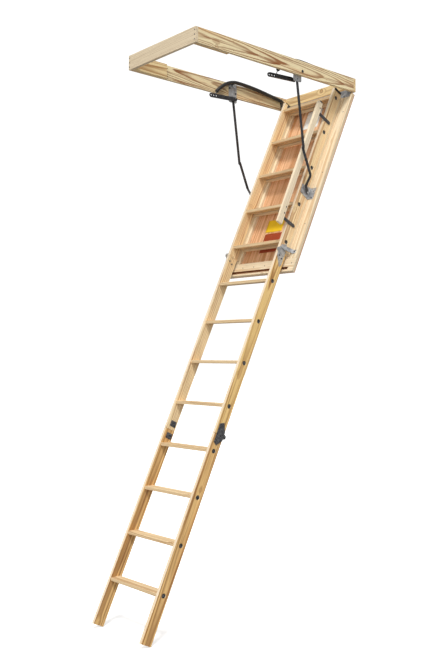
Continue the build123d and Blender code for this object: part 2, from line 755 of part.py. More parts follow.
def handrail():
    """A flat wooden rail beside the right stringer."""
    top = handrail_height(HANDRAIL_TOP)
    end = handrail_height(HANDRAIL_END)
    with BuildPart() as rail:
        with BuildSketch(ladder_side(1, HANDRAIL_NEAR, HANDRAIL_NEAR + BOARD)):
            Polygon(
                (HANDRAIL_TOP, top),
                (HANDRAIL_END, end),
                (HANDRAIL_END, end + HANDRAIL_WIDTH),
                (HANDRAIL_TOP, top + HANDRAIL_WIDTH),
                align=None,
            )
        extrude(amount=BOARD)
        chamfer(rail.edges().filter_by(Plane.YZ, reverse=True), length=2.0)
    save(rail, "handrail")


def handrail_brackets():
    """Flat dog-leg straps from the stringer's outer face out and up behind the handrail."""
    with BuildPart() as brackets:
        for r in HANDRAIL_BRACKETS:
            rise = handrail_height(r)
            with BuildSketch(ladder_side(1, STRINGER_OUTSIDE + 0.5, HANDRAIL_NEAR)):
                bar_sketch((r, STRINGER_MIDDLE - 12), (r, rise + 6), 22)
                bar_sketch((r, rise + 6), (r - 76, rise + 8), 22)
            extrude(amount=BRACKET_THICK)
            with BuildSketch(ladder_side(1, HANDRAIL_NEAR, HANDRAIL_NEAR + 1.5)):
                with Locations((r, STRINGER_MIDDLE - 10), (r, STRINGER_MIDDLE + 16)):
                    Circle(5)
            extrude(amount=1.5)
    save(brackets, "handrail_brackets")


def arm_brackets():
    """Angle brackets that join each upper stringer to the door and carry the feet of the links."""
    r, h = LINK_FOOT_R, LINK_FOOT_H
    near = STRINGER_OUTSIDE + SIDE_GAP
    link_far = LINK_FOOT_NEAR + LINK_THICK
    with BuildPart() as brackets:
        for side in (-1, 1):
            with BuildSketch(ladder_side(side, near, near + BRACKET_THICK)):
                Polygon(
                    (r - 50, DOOR_FACE),
                    (r - 36, h + 56),
                    (r + 20, h + 50),
                    (r + 32, DOOR_FACE),
                    align=None,
                )
            extrude(amount=BRACKET_THICK)
            with BuildSketch(ladder_side(side, near, BRACKET_OUT)):
                box_sketch((r - 50, DOOR_FACE), (r + 32, DOOR_FACE + BRACKET_THICK))
            extrude(amount=BRACKET_OUT - near)
            with BuildSketch(ladder_side(side, near, LINK_FOOT_NEAR - PIN_GAP)):
                with Locations((r, h)):
                    Circle(9)
            extrude(amount=LINK_FOOT_NEAR - PIN_GAP - near)
            with BuildSketch(ladder_side(side, near, link_far + BRACKET_THICK)):
                with Locations((r, h)):
                    Circle(PIVOT_RADIUS)
            extrude(amount=link_far + BRACKET_THICK - near)
            with BuildSketch(ladder_side(side, link_far + PIN_GAP, link_far + BRACKET_THICK)):
                with Locations((r, h)):
                    Circle(BOLT_HEAD_RADIUS)
            extrude(amount=BRACKET_THICK - PIN_GAP)
    save(brackets, "arm_brackets")


def hinge_straps():
    """Bent straps that brace the upper stringers to the door beside the upper hinges."""
    near = STRINGER_OUTSIDE + SIDE_GAP + LEAF
    far = near + BRACKET_THICK
    foot = DOOR_FACE + BRACKET_THICK
    outline = [
        (near, STRAP_TOP),
        (far, STRAP_TOP),
        (far, STRAP_KNEE + 3),
        (STRAP_OUT - 20, foot),
        (STRAP_OUT, foot),
        (STRAP_OUT, DOOR_FACE),
        (STRAP_OUT - 23, DOOR_FACE),
        (near, STRAP_KNEE),
    ]
    start = HINGE + DOWN * (STRAP_R - STRAP_HALF_WIDTH)
    with BuildPart() as straps:
        for side in (-1, 1):
            with BuildSketch(Plane(origin=start, x_dir=(1, 0, 0), z_dir=DOWN)):
                Polygon(*[(side * x, h) for x, h in outline], align=None)
            extrude(amount=2 * STRAP_HALF_WIDTH)
    save(straps, "hinge_straps")


def top_straps():
    """Black straps over the top ends of the upper stringers, down their inner faces and lipped outside."""
    near = STRINGER_INSIDE - BRACKET_THICK
    far = STRINGER_OUTSIDE + BRACKET_THICK
    cap = STRINGER_TOP - BRACKET_THICK
    leg_end = STRINGER_TOP + TOP_STRAP_LEG
    lip_end = STRINGER_TOP + TOP_STRAP_LIP
    with BuildPart() as straps:
        for side in (-1, 1):
            with BuildSketch(ladder_side(side, near, far)):
                box_sketch((cap, STRINGER_BACK + 5), (STRINGER_TOP, STRINGER_FRONT - 1))
            extrude(amount=far - near)
            with BuildSketch(ladder_side(side, near, STRINGER_INSIDE)):
                box_sketch((STRINGER_TOP, STRINGER_BACK + 5), (leg_end, STRINGER_FRONT - 26))
            extrude(amount=BRACKET_THICK)
            with BuildSketch(ladder_side(side, STRINGER_OUTSIDE, far)):
                box_sketch((STRINGER_TOP, STRINGER_BACK + 5), (lip_end, STRINGER_FRONT - 1))
            extrude(amount=BRACKET_THICK)
    save(straps, "top_straps")


# Counterbalance

def crank(side):
    """A bell crank on a hub: a channel lever with holes for the spring's hook, and a long arm to the link."""
    lever_far = LEVER_NEAR + CRANK_THICK
    arm_far = ARM_NEAR + CRANK_THICK
    washer = LINK_NEAR + LINK_THICK + PIN_GAP
    lever = Vector(LEVER_TIP[0] - CRANK_PIVOT[0], LEVER_TIP[1] - CRANK_PIVOT[1]).normalized()
    across = Vector(-lever.Y, lever.X)
    pivot = Vector(*CRANK_PIVOT)
    holes = [pivot + lever * (CRANK_LEVER - drop) for drop in LEVER_HOLES]
    with BuildPart() as arm:
        with BuildSketch(frame_side(side, LEVER_NEAR, lever_far)):
            bar_sketch(CRANK_PIVOT, LEVER_TIP, LEVER_DEPTH)
            with Locations(*holes):
                Circle(LEVER_HOLE_RADIUS, mode=Mode.SUBTRACT)
        extrude(amount=CRANK_THICK)
        with BuildSketch(frame_side(side, lever_far, lever_far + LEVER_FLANGE_HEIGHT)):
            for edge in (-1, 1):
                start = pivot + lever * LEVER_FLANGE_START + across * edge * LEVER_DEPTH / 2
                end = start + lever * (CRANK_LEVER - LEVER_FLANGE_START)
                inset = across * edge * LEVER_FLANGE_THICK
                Polygon(start, end, end - inset, start - inset, align=None)
        extrude(amount=LEVER_FLANGE_HEIGHT)
        with BuildSketch(frame_side(side, LEVER_NEAR, arm_far)):
            with Locations(CRANK_PIVOT):
                Circle(HUB_RADIUS)
        extrude(amount=arm_far - LEVER_NEAR)
        with BuildSketch(frame_side(side, ARM_NEAR, arm_far)):
            bar_sketch(CRANK_PIVOT, ELBOW, ARM_BAR)
        extrude(amount=CRANK_THICK)
        with BuildSketch(frame_side(side, LEVER_NEAR, arm_far)):
            with Locations(CRANK_PIVOT):
                Circle(PIVOT_RADIUS + RUNNING)
        extrude(amount=arm_far - LEVER_NEAR, mode=Mode.SUBTRACT)
        with BuildSketch(frame_side(side, washer, ARM_NEAR)):
            with Locations(ELBOW):
                Circle(BOLT_HEAD_RADIUS)
        extrude(amount=ARM_NEAR - washer)
        with BuildSketch(frame_side(side, arm_far, arm_far + RIVET_HEAD)):
            with Locations(ELBOW):
                Circle(RIVET_HEAD_RADIUS)
        extrude(amount=RIVET_HEAD)
    save(arm, f"{side_name(side)}_crank")


def link(side):
    """The bar from the crank's long arm, bent in to a tab on the bracket beside the stringer."""
    elbow = Vector(*ladder_place(*ELBOW))
    foot = Vector(LINK_FOOT_R, LINK_FOOT_H)
    run = (foot - elbow).normalized()
    bend = elbow + run * LINK_LENGTH_TO_BEND + Vector(run.Y, -run.X) * LINK_BEND
    tab = foot - (foot - bend).normalized() * LINK_TAB
    high = Vector(side * (LINK_NEAR + LINK_THICK / 2), *ladder_point(bend.X, bend.Y))
    low = Vector(side * (LINK_FOOT_NEAR + LINK_THICK / 2), *ladder_point(tab.X, tab.Y))
    with BuildPart() as bar:
        with BuildSketch(ladder_side(side, LINK_NEAR, LINK_NEAR + LINK_THICK)):
            bar_sketch((elbow.X, elbow.Y), (bend.X, bend.Y), LINK_BAR)
        extrude(amount=LINK_THICK)
        with BuildSketch(Plane(origin=high, x_dir=(low - high).cross(Vector(1, 0, 0)), z_dir=low - high)):
            Rectangle(LINK_BAR, LINK_THICK)
        extrude(amount=(low - high).length)
        with BuildSketch(ladder_side(side, LINK_FOOT_NEAR, LINK_FOOT_NEAR + LINK_THICK)):
            bar_sketch((tab.X, tab.Y), (foot.X, foot.Y), LINK_BAR)
        extrude(amount=LINK_THICK)
        with BuildSketch(ladder_side(side, LINK_FOOT_NEAR, LINK_FOOT_NEAR + LINK_THICK)):
            with Locations(foot):
                Circle(PIVOT_RADIUS + RUNNING)
        extrude(amount=LINK_THICK, mode=Mode.SUBTRACT)
    save(bar, f"{side_name(side)}_link")


def main():
    knee_bolts = leaf_bolts(KNEE_PIVOT, 1, -1)
    ankle_top_bolts = leaf_bolts(ANKLE_PIVOT, -1, 1)
    ankle_bolts = leaf_bolts(ANKLE_PIVOT, 1, 1)
    end_board("header_board", -FRAME_LENGTH / 2)
    end_board("hinge_end_board", FRAME_LENGTH / 2 - BOARD)
    corner_blocks()
    frame_screws()
    jamb_plates()
    jamb_bolts()
    spring_anchors()
    hinge_leaf("frame_hinge_leaf", 0, 0)
    hinge_leaf("door_hinge_leaf", 1, 1)
    hinge_pin()
    door_boards()
    door_bottom_rail()
    door_battens()
    stringer_pads()
    door_screws()
    handrail()
    handrail_brackets()
    arm_brackets()
    hinge_straps()
    top_straps()
    for side in (-1, 1):
        jamb(side)
        spring(side)
        crank(side)
        link(side)
        stringer(side, "upper", STRINGER_TOP, KNEE - BUTT_GAP, range(1, 6))
        middle_bolts = knee_bolts + ankle_top_bolts
        stringer(side, "middle", KNEE + BUTT_GAP, ANKLE - BUTT_GAP, range(6, 10), middle_bolts)
        stringer(side, "lower", ANKLE + BUTT_GAP, FOOT, range(10, 14), ankle_bolts)
    for number in range(1, TREADS + 1):
        tread(number)
    tread_rods("upper", range(1, 6))
    tread_rods("middle", range(6, 10))
    tread_rods("lower", range(10, 14))
    fixed_leaves("upper_hinge_leaves", KNEE_PIVOT, -1, KNEE_TOP_REACH, 0.3)
    swinging_leaves("middle_top_leaves", KNEE_PIVOT, -1, KNEE_REACH, 0.2)
    fixed_leaves("middle_bottom_leaves", ANKLE_PIVOT, 1, ANKLE_TOP_REACH, 0.5)
    swinging_leaves("lower_leaves", ANKLE_PIVOT, 1, ANKLE_REACH, 0.4)
    hinge_bolts("middle_hinge_bolts", [(knee_bolts, 0), (ankle_top_bolts, BACKING_THICK)])
    hinge_bolts("lower_hinge_bolts", [(ankle_bolts, BACKING_THICK)])
    backing_plates("middle_backing_plates", ankle_top_bolts)
    backing_plates("lower_backing_plates", ankle_bolts)


main()
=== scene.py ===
import json
import math
import random

import bmesh
import bpy
from mathutils import Matrix, Vector


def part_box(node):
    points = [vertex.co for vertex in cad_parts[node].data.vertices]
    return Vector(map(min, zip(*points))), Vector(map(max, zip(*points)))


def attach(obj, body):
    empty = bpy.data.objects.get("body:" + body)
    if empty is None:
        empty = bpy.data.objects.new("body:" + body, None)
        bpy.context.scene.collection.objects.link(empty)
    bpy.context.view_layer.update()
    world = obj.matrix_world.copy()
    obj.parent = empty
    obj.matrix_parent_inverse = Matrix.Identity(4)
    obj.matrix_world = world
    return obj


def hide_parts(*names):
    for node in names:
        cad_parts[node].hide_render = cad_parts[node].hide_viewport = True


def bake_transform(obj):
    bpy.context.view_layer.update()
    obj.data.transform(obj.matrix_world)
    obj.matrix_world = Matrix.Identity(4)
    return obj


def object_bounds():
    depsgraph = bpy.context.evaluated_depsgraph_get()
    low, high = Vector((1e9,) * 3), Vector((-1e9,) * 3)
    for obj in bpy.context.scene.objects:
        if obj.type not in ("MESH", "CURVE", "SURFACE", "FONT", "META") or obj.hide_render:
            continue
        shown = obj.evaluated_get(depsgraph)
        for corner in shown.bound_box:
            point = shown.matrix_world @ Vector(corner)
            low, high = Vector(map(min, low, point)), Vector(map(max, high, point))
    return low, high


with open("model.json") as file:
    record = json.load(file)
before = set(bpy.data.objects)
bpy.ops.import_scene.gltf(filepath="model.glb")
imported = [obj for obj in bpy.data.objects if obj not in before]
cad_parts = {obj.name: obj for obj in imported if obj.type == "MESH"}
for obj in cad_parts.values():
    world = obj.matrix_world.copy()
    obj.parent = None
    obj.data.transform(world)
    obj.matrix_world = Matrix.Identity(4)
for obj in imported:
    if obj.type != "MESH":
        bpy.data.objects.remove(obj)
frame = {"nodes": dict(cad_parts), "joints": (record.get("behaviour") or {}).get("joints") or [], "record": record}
cad_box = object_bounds()

MM = 0.001
NODES = frame["nodes"]
BODY_OF = {n: b for b, names in frame["record"]["behaviour"]["bodies"].items() for n in names}
JOINT_AT = {j["name"]: Vector(j["pos_m"]) for j in frame["joints"]}

# Axes. DOWN runs down the ladder from the door's hinge pin, and OUT points off the door to the climber.
SLOPE = math.radians(64.8)
X = Vector((1, 0, 0))
Y = Vector((0, 1, 0))
Z = Vector((0, 0, 1))
DOWN = Vector((0, -math.cos(SLOPE), -math.sin(SLOPE)))
OUT = Vector((0, -math.sin(SLOPE), math.cos(SLOPE)))
HINGE = JOINT_AT["door_hinge"].copy()
HINGE.x = 0.0

# The door, in mm. Faces are measured along OUT and the slot along DOWN, both from the hinge pin.
PANEL_FACE = -17.3
PANEL_THICK = 6.0
SLOT_START = 1302.0
SLOT_END = 1322.0
SLOT_REACH = 266.0

# Rounded edges, in mm
BOARD_EASE = 1.3
STRINGER_EASE = 1.6
TREAD_EASE = 1.0
HANDRAIL_EASE = 2.0
PANEL_EASE = 0.4
METAL_EASE = 0.5
CRANK_EASE = 0.6
LEAF_EASE = 0.4
BOLT_EASE = 0.3
SCREW_EASE = 0.2
EASE_FROM = math.radians(40.0)

# Angles that are shaded smooth
BOARD_SMOOTH = math.radians(35.0)
ROUND_SMOOTH = math.radians(50.0)
LINK_SMOOTH = math.radians(30.0)

# CAD corners nearer than WELD, in m, become one, and faces that bend less than FLAT are joined. A face whose
# normal has at least FACING of its length along OUT faces the climber and is given paler wood as a painted
# highlight.
WELD = 2e-6
FLAT = math.radians(0.6)
FACING = 0.9

# Springs, in mm. Places are (y, z) in the frame's own axes.
SPRING_RADIUS = 12.0
SPRING_PITCH = 5.5
SPRING_RIB = 0.25
SPRING_SIDES = 24
SPRING_STEP = 1.6
SLEEVE_END = 7.0
SLEEVE_CLOSING = 0.45
SPRING_ROUTE = ((599, 57), (367, 87.5), (200, 97.4), (132, 91), (75, 68), (26, 33.5), (-9, 1))
HOOK_EYE = (-18.6, -31.2)
HOOK_TAIL = (5, -5)
HOOK_BENDS = (12.0, 4.0)
HOOK_START = 0.2
HOOK_NECK = 0.45
ANCHOR_PIN = (610, 55)
EYE_LOOP = ((2, 8), (9, 0), (2, -8))
EYE_BENDS = (4.0, 5.0)
EYE_START = 0.03
WIRE_RADIUS = 2.4
WIRE_SIDES = 12
WIRE_STEP = 1.0

# Links, in mm. Corners are (x, distance along DOWN, distance along OUT) from the hinge pin.
LINK_WIDTH = 20.0
LINK_THICK = 5.0
LINK_CORNER = 1.0
LINK_STEP = 2.0
LINK_CORNERS = ((287.0, 583.6, 220.6), (287.0, 701.4, 87.7), (246.5, 755.0, 62.0), (246.5, 786.0, 30.0))
LINK_BENDS = (30.0, 18.0)
LINK_END_ANGLES = (90, 80, 68, 55, 42, 28, 14)
LINK_TIP_SQUARE = 0.02

# Stickers, in mm
STICKER_STEPS = 12
STICKER_LIFT = 0.25
STICKER_CURL = 0.35
PAPER_THICK = 0.12


def on_ladder(x, r, h):
    """A point from its distance across, down along and out from the door's hinge pin, in mm."""
    return HINGE + (X * x + DOWN * r + OUT * h) * MM


def linear(level):
    """The linear value of one colour level out of 255."""
    part = level / 255
    return part / 12.92 if level <= 10 else ((part + 0.055) / 1.055) ** 2.4


def srgb(*levels):
    """A linear colour from its levels out of 255."""
    return tuple(linear(level) for level in levels) + (1.0,)


# ---------------------------------------------------------------- materials

class Graph:
    """A short way to write the nodes of one material."""

    def __init__(self, name):
        self.material = bpy.data.materials.new(name)
        self.material.use_nodes = True
        self.tree = self.material.node_tree
        self.shader = self.tree.nodes["Principled BSDF"]

    def put(self, socket, value):
        if isinstance(value, bpy.types.NodeSocket):
            self.tree.links.new(value, socket)
        elif value is not None:
            socket.default_value = value

    def node(self, kind, settings=None, **inputs):
        made = self.tree.nodes.new("ShaderNode" + kind)
        for key, value in (settings or {}).items():
            setattr(made, key, value)
        for key, value in inputs.items():
            self.put(made.inputs[key.replace("_", " ")], value)
        return made

    def math(self, operation, a, b=None):
        made = self.node("Math", {"operation": operation})
        for socket, value in zip(made.inputs, (a, b)):
            self.put(socket, value)
        return made.outputs[0]

    def scaled(self, at, along, across, through):
        """A place with each of its axes multiplied."""
        made = self.node("VectorMath", {"operation": "MULTIPLY"})
        self.put(made.inputs[0], at)
        self.put(made.inputs[1], (along, across, through))
        return made.outputs[0]

    def noise(self, at, scale, detail=2.0, roughness=0.5, distortion=0.0):
        made = self.node("TexNoise", Vector=at, Scale=scale, Detail=detail, Roughness=roughness)
        self.put(made.inputs["Distortion"], distortion)
        return made.outputs["Fac"]

    def fibres(self, at, along, across, detail=2.0, roughness=0.5, distortion=0.0):
        """Noise drawn out along the first axis: its scales along the wood and across it."""
        return self.noise(self.scaled(at, along, across, across), 1.0, detail, roughness, distortion)

    def ramp(self, value, low, high, to_low=0.0, to_high=1.0):
        """A smooth step of a value from low to high."""
        made = self.node("MapRange", {"interpolation_type": "SMOOTHSTEP"})
        for socket, v in zip(made.inputs, (value, low, high, to_low, to_high)):
            self.put(socket, v)
        return made.outputs[0]

    def mix(self, factor, a, b):
        made = self.node("Mix", {"data_type": "RGBA", "clamp_factor": True})
        self.put(made.inputs["Factor"], factor)
        self.put(made.inputs[6], a)
        self.put(made.inputs[7], b)
        return made.outputs[2]

    def bump(self, height, strength, distance):
        made = self.node("Bump", Strength=strength, Distance=distance, Height=height)
        self.put(self.shader.inputs["Normal"], made.outputs[0])

    def set(self, **inputs):
        for key, value in inputs.items():
            self.put(self.shader.inputs[key.replace("_", " ")], value)
        return self.material


KNOTS_PER_METRE = 0.8
KNOT_SPREAD = 1.9
KNOT_SWELL = 0.016
RING_DRIFT = 0.71
RING_UNEVEN = 0.45


def knot_distance(g, along, y, z, radius, ripple):
    """The distance to the nearest branch, which leaves the pith at one place along the log and one angle."""
    branch = g.node(
        "TexVoronoi",
        {"voronoi_dimensions": "1D", "feature": "F1"},
        W=along,
        Scale=KNOTS_PER_METRE,
        Randomness=1.0,
    )
    off = g.math("DIVIDE", branch.outputs["Distance"], KNOTS_PER_METRE)
    pick = g.node("SeparateXYZ", Vector=branch.outputs["Color"]).outputs[0]
    heading = g.math("MULTIPLY", g.math("SUBTRACT", pick, 0.5), KNOT_SPREAD)
    turn = g.math("SUBTRACT", g.math("ARCTAN2", y, z), heading)
    aside = g.math("MULTIPLY", radius, g.math("SINE", turn))
    square = g.math("ADD", g.math("MULTIPLY", off, off), g.math("MULTIPLY", aside, aside))
    return g.math("ADD", g.math("SQRT", square), g.math("MULTIPLY", ripple, 0.006))


def late_wood(g, grown, ring):
    """How much of a point is late wood, from its distance to the pith and the width of a year's ring."""
    year = g.math("DIVIDE", grown, ring)
    wave = g.math("SINE", g.math("MULTIPLY", year, RING_DRIFT))
    year = g.math("ADD", year, g.math("MULTIPLY", wave, RING_UNEVEN))
    phase = g.math("FRACT", year)
    band = g.math("MULTIPLY", g.ramp(phase, 0.42, 0.80), g.ramp(phase, 0.90, 1.0, 1.0, 0.0))
    whole = g.math("FLOOR", year)
    strength = g.node("TexWhiteNoise", {"noise_dimensions": "1D"}, W=whole).outputs["Value"]
    return g.math("MULTIPLY", band, g.ramp(strength, 0.0, 1.0, 0.40, 1.0))


def wood(name, early, late, stain, ring=0.0055, contrast=0.85, wander=0.005, stain_amount=0.30, knots=0.6):
    """Pine cut from a log. The mesh's "grain" attribute says where each point was in the log, in metres:
    x along it, y and z across it from the pith."""
    g = Graph(name)
    grain = g.node("Attribute", {"attribute_name": "grain"}).outputs["Vector"]
    along, y, z = g.node("SeparateXYZ", Vector=grain).outputs
    drift = g.math("SUBTRACT", g.fibres(grain, 1.1, 9.0, 2.0, 0.45), 0.5)
    ripple = g.math("SUBTRACT", g.fibres(grain, 7.0, 55.0, 3.0, 0.55), 0.5)
    radius = g.math("SQRT", g.math("ADD", g.math("MULTIPLY", y, y), g.math("MULTIPLY", z, z)))
    knot = knot_distance(g, along, y, z, radius, ripple)
    swell = g.ramp(knot, 0.0, 0.05, KNOT_SWELL * knots, 0.0)
    grown = g.math("ADD", radius, g.math("MULTIPLY", drift, wander * 2))
    grown = g.math("ADD", grown, g.math("MULTIPLY", ripple, wander * 0.30))
    band = late_wood(g, g.math("SUBTRACT", grown, swell), ring)

    # Fibres and resin canals, drawn out along the log
    fibre = g.fibres(grain, 9.0, 900.0, 2.0, 0.6)
    streak = g.fibres(grain, 2.2, 170.0, 2.0, 0.55)
    canal = g.ramp(g.fibres(grain, 30.0, 1300.0, 1.0, 0.5), 0.66, 0.74)
    patch = g.fibres(grain, 1.4, 20.0, 3.0, 0.6)
    resin = g.ramp(g.fibres(grain, 1.7, 52.0, 3.0, 0.6, 0.5), 0.53, 0.68)

    # Each board has its own tone, and shows a little more or less of its late wood.
    own = g.node("Attribute", {"attribute_name": "tone"}).outputs["Fac"]
    strong = g.ramp(own, 0.0, 1.0, contrast * 0.80, contrast)
    colour = g.mix(g.math("MULTIPLY", band, strong), early, late)
    colour = g.mix(g.ramp(patch, 0.46, 0.80, 0.0, stain_amount), colour, stain)
    colour = g.mix(g.math("MULTIPLY", resin, 0.6 * contrast ** 2), colour, late)
    colour = g.mix(g.ramp(streak, 0.40, 0.85, 0.0, 0.22), colour, late)
    colour = g.mix(g.ramp(fibre, 0.42, 0.85, 0.0, 0.16), colour, srgb(150, 98, 48))
    colour = g.mix(g.math("MULTIPLY", canal, 0.28), colour, srgb(96, 56, 26))
    colour = g.mix(g.ramp(own, 0.0, 1.0, 0.0, 0.16), colour, stain)
    rim = g.math("MULTIPLY", g.ramp(knot, 0.006, 0.010), g.ramp(knot, 0.010, 0.016, 1.0, 0.0))
    colour = g.mix(g.ramp(knot, 0.007, 0.014, 0.6 * knots, 0.0), colour, srgb(176, 112, 56))
    colour = g.mix(g.math("MULTIPLY", rim, 0.75 * knots), colour, srgb(104, 62, 30))

    # Planed wood is a little raised and glossier on the hard late bands.
    height = g.math("ADD", g.math("MULTIPLY", band, 0.5), g.math("MULTIPLY", fibre, 0.6))
    height = g.math("SUBTRACT", height, g.math("MULTIPLY", canal, 0.5))
    g.bump(height, 0.35, 0.0004)
    rough = g.math("SUBTRACT", 0.66, g.math("MULTIPLY", band, 0.16))
    rough = g.math("ADD", rough, g.math("MULTIPLY", g.math("SUBTRACT", fibre, 0.5), 0.2))
    return g.set(Base_Color=colour, Roughness=rough, Specular_IOR_Level=0.35)


def plywood(name):
    """Thin lauan plywood: a face of fine ribbons and short pores, and three plies at its edges."""
    g = Graph(name)
    grain = g.node("Attribute", {"attribute_name": "grain"}).outputs["Vector"]
    ribbon = g.fibres(grain, 1.6, 60.0, 3.0, 0.6)
    pores = g.fibres(grain, 45.0, 1500.0, 1.0, 0.5)
    cloud = g.fibres(grain, 3.0, 6.0, 3.0, 0.6)
    colour = g.mix(g.ramp(ribbon, 0.28, 0.74), srgb(252, 210, 170), srgb(192, 134, 86))
    colour = g.mix(g.ramp(cloud, 0.4, 0.75, 0.0, 0.5), colour, srgb(208, 156, 112))
    pore = g.ramp(pores, 0.60, 0.68)
    colour = g.mix(g.math("MULTIPLY", pore, 0.45), colour, srgb(120, 70, 44))
    depth = g.node("SeparateXYZ", Vector=grain).outputs[2]
    core = g.math("MULTIPLY", g.ramp(depth, 0.0016, 0.0019), g.ramp(depth, 0.0041, 0.0044, 1.0, 0.0))
    colour = g.mix(g.math("MULTIPLY", core, 0.7), colour, srgb(140, 88, 58))
    g.bump(g.math("SUBTRACT", g.math("MULTIPLY", ribbon, 0.6), pore), 0.3, 0.0003)
    rough = g.math("ADD", 0.55, g.math("MULTIPLY", ribbon, 0.25))
    return g.set(Base_Color=colour, Roughness=rough, Specular_IOR_Level=0.35)


def painted_steel(name, colour, chip, gloss):
    """Steel under thin paint: orange peel, dust, fine scratches and a few bare flecks."""
    g = Graph(name)
    at = g.node("TexCoord").outputs["Object"]
    cloud = g.noise(at, 38.0, 4.0, 0.6)
    peel = g.noise(at, 900.0, 2.0, 0.5)
    flecks = g.ramp(g.noise(at, 210.0, 3.0, 0.65), 0.70, 0.76)
    scratch = g.noise(g.scaled(at, 1400.0, 160.0, 60.0), 1.0, 2.0, 0.6)
    mixed = g.mix(g.ramp(cloud, 0.35, 0.75, 0.0, 0.5), colour, chip)
    mixed = g.mix(g.math("MULTIPLY", flecks, 0.55), mixed, srgb(150, 146, 140))
    mixed = g.mix(g.ramp(scratch, 0.66, 0.78, 0.0, 0.35), mixed, srgb(120, 118, 115))
    rough = g.math("ADD", gloss, g.math("MULTIPLY", cloud, 0.28))
    g.bump(g.math("SUBTRACT", peel, flecks), 0.25, 0.0003)
    return g.set(Base_Color=mixed, Roughness=rough, Metallic=0.25)


def plated_steel(name, bright, dull, rough_low, rough_high):
    """Zinc plate: large soft spangles, cloudy dulling and brushed lines."""
    g = Graph(name)
    at = g.node("TexCoord").outputs["Object"]
    cells = g.node("TexVoronoi", {"feature": "F1"}, Vector=at, Scale=160.0, Randomness=1.0)
    spangle = g.node("SeparateXYZ", Vector=cells.outputs["Color"]).outputs[0]
    cloud = g.noise(at, 45.0, 4.0, 0.65)
    lines = g.noise(g.scaled(at, 900.0, 120.0, 900.0), 1.0, 2.0, 0.5)
    grime = g.ramp(g.noise(at, 120.0, 4.0, 0.7), 0.55, 0.8)
    colour = g.mix(g.ramp(cloud, 0.3, 0.7), bright, dull)
    colour = g.mix(g.math("MULTIPLY", spangle, 0.22), colour, srgb(225, 226, 228))
    colour = g.mix(g.math("MULTIPLY", grime, 0.5), colour, srgb(88, 82, 74))
    wear = g.math("ADD", g.math("MULTIPLY", cloud, 0.6), g.math("MULTIPLY", spangle, 0.4))
    rough = g.ramp(wear, 0.2, 0.8, rough_low, rough_high)
    g.bump(g.math("ADD", g.math("MULTIPLY", lines, 0.5), g.math("MULTIPLY", spangle, 0.3)), 0.2, 0.0002)
    return g.set(Base_Color=colour, Roughness=rough, Metallic=0.6)


def sleeve(name):
    """The black vinyl over a spring: shallow ribs, dust and rubbed patches."""
    g = Graph(name)
    at = g.node("TexCoord").outputs["Object"]
    cloud = g.noise(at, 60.0, 4.0, 0.6)
    dust = g.ramp(g.noise(at, 500.0, 3.0, 0.7), 0.55, 0.75)
    colour = g.mix(cloud, srgb(20, 20, 21), srgb(44, 43, 43))
    colour = g.mix(g.math("MULTIPLY", dust, 0.3), colour, srgb(92, 89, 85))
    g.bump(g.noise(at, 700.0, 2.0, 0.5), 0.2, 0.0003)
    rough = g.math("ADD", 0.24, g.math("MULTIPLY", cloud, 0.25))
    return g.set(Base_Color=colour, Roughness=rough, Coat_Weight=0.15)


def paper(name, ink, dark):
    """A blank sticker: printed colour with paper fibre, small scuffs and cloudy patches of darker tone."""
    g = Graph(name)
    at = g.node("TexCoord").outputs["Object"]
    cloud = g.noise(at, 35.0, 3.0, 0.6)
    fibre = g.noise(at, 1800.0, 2.0, 0.6)
    scuff = g.ramp(g.fibres(at, 60.0, 300.0, 3.0, 0.7), 0.62, 0.74)
    colour = g.mix(g.ramp(cloud, 0.35, 0.75, 0.0, 0.5), ink, dark)
    colour = g.mix(g.math("MULTIPLY", scuff, 0.3), colour, srgb(226, 214, 196))
    g.bump(fibre, 0.15, 0.0001)
    return g.set(Base_Color=colour, Roughness=g.math("ADD", 0.42, g.math("MULTIPLY", fibre, 0.15)))


PINE = wood("pine", srgb(252, 230, 178), srgb(160, 100, 40), srgb(214, 164, 94), contrast=0.9)
STRINGER_PINE = wood(
    "stringer_pine",
    srgb(255, 234, 188),
    srgb(170, 98, 40),
    srgb(222, 166, 96),
    ring=0.0075,
    wander=0.010,
    knots=0.2,
)
GOLD_PINE = wood(
    "gold_pine",
    srgb(252, 216, 146),
    srgb(150, 82, 24),
    srgb(204, 144, 72),
    ring=0.0088,
    contrast=1.0,
    wander=0.006,
    knots=0.2,
)
LOWER_PINE = wood(
    "lower_pine",
    srgb(246, 206, 140),
    srgb(132, 70, 22),
    srgb(194, 130, 66),
    ring=0.0088,
    contrast=1.0,
    wander=0.005,
    stain_amount=0.5,
    knots=0.2,
)
# Paler wood for the stringer edges that face the climber: a painted highlight for the brighter light that falls on
# them.
LIT_EDGE_PINE = wood(
    "lit_edge_pine",
    srgb(246, 230, 204),
    srgb(206, 166, 114),
    srgb(232, 206, 168),
    contrast=0.6,
    knots=0.0,
)
JAMB_PINE = wood(
    "jamb_pine",
    srgb(255, 240, 196),
    srgb(140, 72, 12),
    srgb(212, 140, 62),
    ring=0.0085,
    contrast=1.1,
    wander=0.012,
    stain_amount=0.5,
    knots=0.4,
)
HEADER_PINE = wood(
    "header_pine",
    srgb(246, 230, 200),
    srgb(150, 116, 72),
    srgb(224, 204, 170),
    ring=0.0042,
    contrast=0.7,
    wander=0.004,
    knots=0.0,
)
PALE_PINE = wood(
    "pale_pine",
    srgb(236, 222, 194),
    srgb(190, 148, 96),
    srgb(222, 198, 156),
    contrast=0.7,
    knots=0.4,
)
RAIL_PINE = wood(
    "rail_pine",
    srgb(238, 224, 196),
    srgb(198, 152, 92),
    srgb(226, 202, 158),
    ring=0.008,
    contrast=0.8,
    knots=0.3,
)
TREAD_PINE = wood(
    "tread_pine",
    srgb(246, 222, 180),
    srgb(176, 124, 68),
    srgb(220, 180, 126),
    contrast=0.8,
    knots=0.4,
)
HANDRAIL_PINE = wood(
    "handrail_pine",
    srgb(252, 238, 210),
    srgb(222, 186, 142),
    srgb(240, 220, 188),
    ring=0.009,
    contrast=0.5,
    knots=0.2,
)
